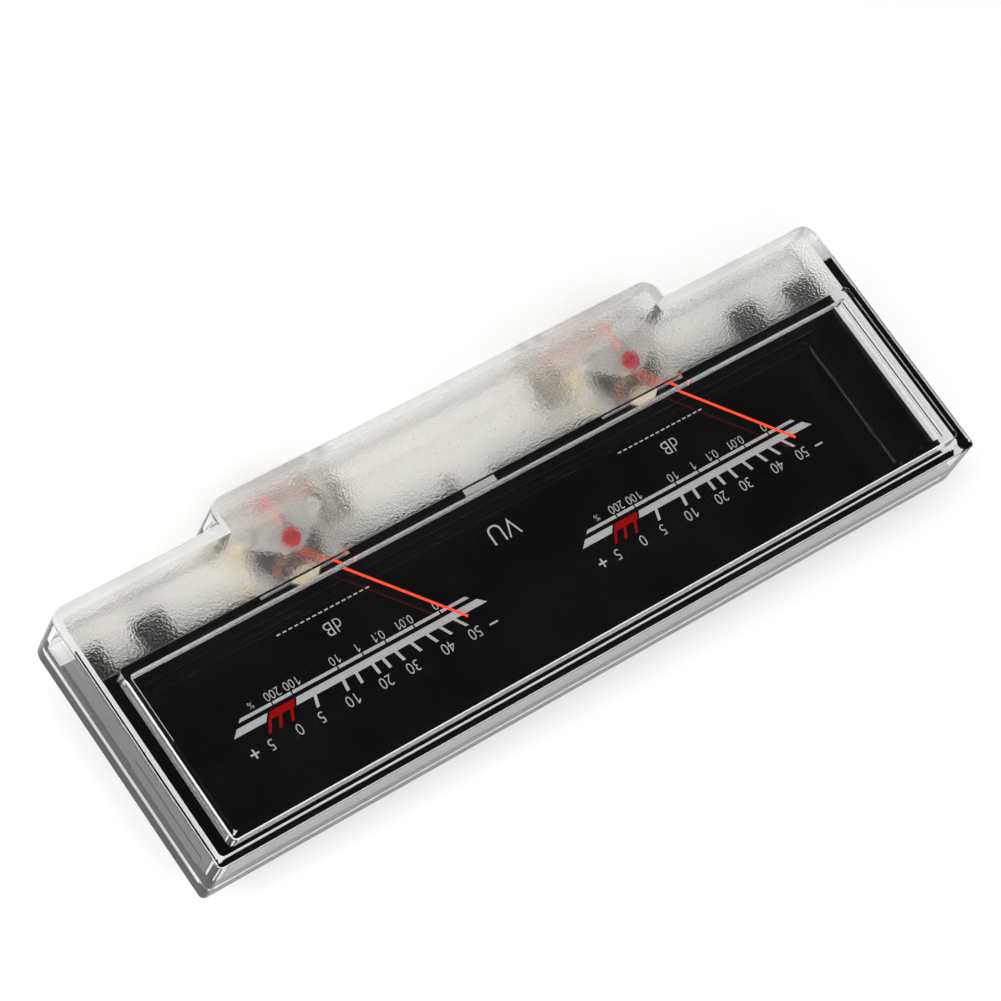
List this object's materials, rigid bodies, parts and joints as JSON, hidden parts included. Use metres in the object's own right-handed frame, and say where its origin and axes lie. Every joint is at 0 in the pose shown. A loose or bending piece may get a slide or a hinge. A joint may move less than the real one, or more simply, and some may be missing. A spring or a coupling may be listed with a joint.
{
  "type": "analog vu meter",
  "caption": "Two-pointer analog level meter in one long clear moulded case with a raised window and black dial.",
  "frame": {"origin": "middle of the outline, on the back face that the meter lies on", "axes": "+X along the case in the reading direction, +Y up the dial away from the pointer axes, +Z out of the dial"},
  "size_m": [0.134, 0.0446, 0.0126],
  "materials": {
    "clear_cover": "clear moulded acrylic, polished window, pebbled rear flange",
    "clear_tray": "clear moulded acrylic",
    "black_dial": "satin black paint with grey and red print",
    "black_screw": "blackened steel",
    "cream_plastic": "cream moulded plastic",
    "cream_bridge": "cream moulded plastic",
    "soft_iron": "plated soft iron",
    "magnet": "ground magnet alloy",
    "steel_screw": "zinc plated steel",
    "red_wire": "insulated lead wire",
    "red_lacquer": "screw sealed with red lacquer",
    "brass_screw": "turned brass",
    "jewel": "polished synthetic jewel",
    "aluminium_former": "thin bright aluminium",
    "copper_wire": "enamelled copper wire",
    "steel_pivot": "hardened steel",
    "aluminium_cross": "thin aluminium stamping",
    "solder": "tin balance weight",
    "orange_pointer": "fluorescent orange red paint on aluminium",
    "bronze_spring": "phosphor bronze ribbon",
    "brass_lever": "stamped brass",
    "stop_sleeve": "black sleeve on a pin",
    "tinned_brass": "tinned brass strip"
  },
  "bodies": {
    "case": {"front_cover": "clear_cover", "rear_cover": "clear_tray", "dial_plate": "black_dial", "dial_screws": "black_screw", "movement_frame_left": "cream_plastic", "yoke_left": "soft_iron", "core_magnet_left": "magnet", "lead_wire_left": "red_wire", "upper_bridge_left": "cream_bridge", "bridge_screws_left": "steel_screw", "frame_screws_left": "steel_screw", "upper_jewel_screw_left": "red_lacquer", "lower_jewel_screw_left": "brass_screw", "jewels_left": "jewel", "lower_hairspring_left": "bronze_spring", "stop_pins_left": "stop_sleeve", "terminals_left": "tinned_brass", "movement_frame_right": "cream_plastic", "yoke_right": "soft_iron", "core_magnet_right": "magnet", "lead_wire_right": "red_wire", "upper_bridge_right": "cream_bridge", "bridge_screws_right": "steel_screw", "frame_screws_right": "steel_screw", "upper_jewel_screw_right": "red_lacquer", "lower_jewel_screw_right": "brass_screw", "jewels_right": "jewel", "lower_hairspring_right": "bronze_spring", "stop_pins_right": "stop_sleeve", "terminals_right": "tinned_brass"},
    "swing_left": {"coil_former_left": "aluminium_former", "coil_winding_left": "copper_wire", "upper_pivot_left": "steel_pivot", "lower_pivot_left": "steel_pivot", "balance_cross_left": "aluminium_cross", "counterweights_left": "solder", "pointer_left": "orange_pointer"},
    "zero_left": {"zero_lever_left": "brass_lever", "upper_hairspring_left": "bronze_spring"},
    "swing_right": {"coil_former_right": "aluminium_former", "coil_winding_right": "copper_wire", "upper_pivot_right": "steel_pivot", "lower_pivot_right": "steel_pivot", "balance_cross_right": "aluminium_cross", "counterweights_right": "solder", "pointer_right": "orange_pointer"},
    "zero_right": {"zero_lever_right": "brass_lever", "upper_hairspring_right": "bronze_spring"}
  },
  "joints": [
    {"name": "pointer_left_swing", "type": "hinge", "parent": "case", "child": "swing_left", "pos_m": [-0.03, -0.01333, 0.0044], "axis": [0, 0, -1], "range_deg": [0, 82], "stiffness_Nm_per_rad": 0.000001},
    {"name": "zero_left_turn", "type": "hinge", "parent": "case", "child": "zero_left", "pos_m": [-0.03, -0.01333, 0.0044], "axis": [0, 0, -1], "range_deg": [-8, 8]},
    {"name": "pointer_right_swing", "type": "hinge", "parent": "case", "child": "swing_right", "pos_m": [0.03, -0.01333, 0.0044], "axis": [0, 0, -1], "range_deg": [0, 82], "stiffness_Nm_per_rad": 0.000001},
    {"name": "zero_right_turn", "type": "hinge", "parent": "case", "child": "zero_right", "pos_m": [0.03, -0.01333, 0.0044], "axis": [0, 0, -1], "range_deg": [-8, 8]}
  ]
}
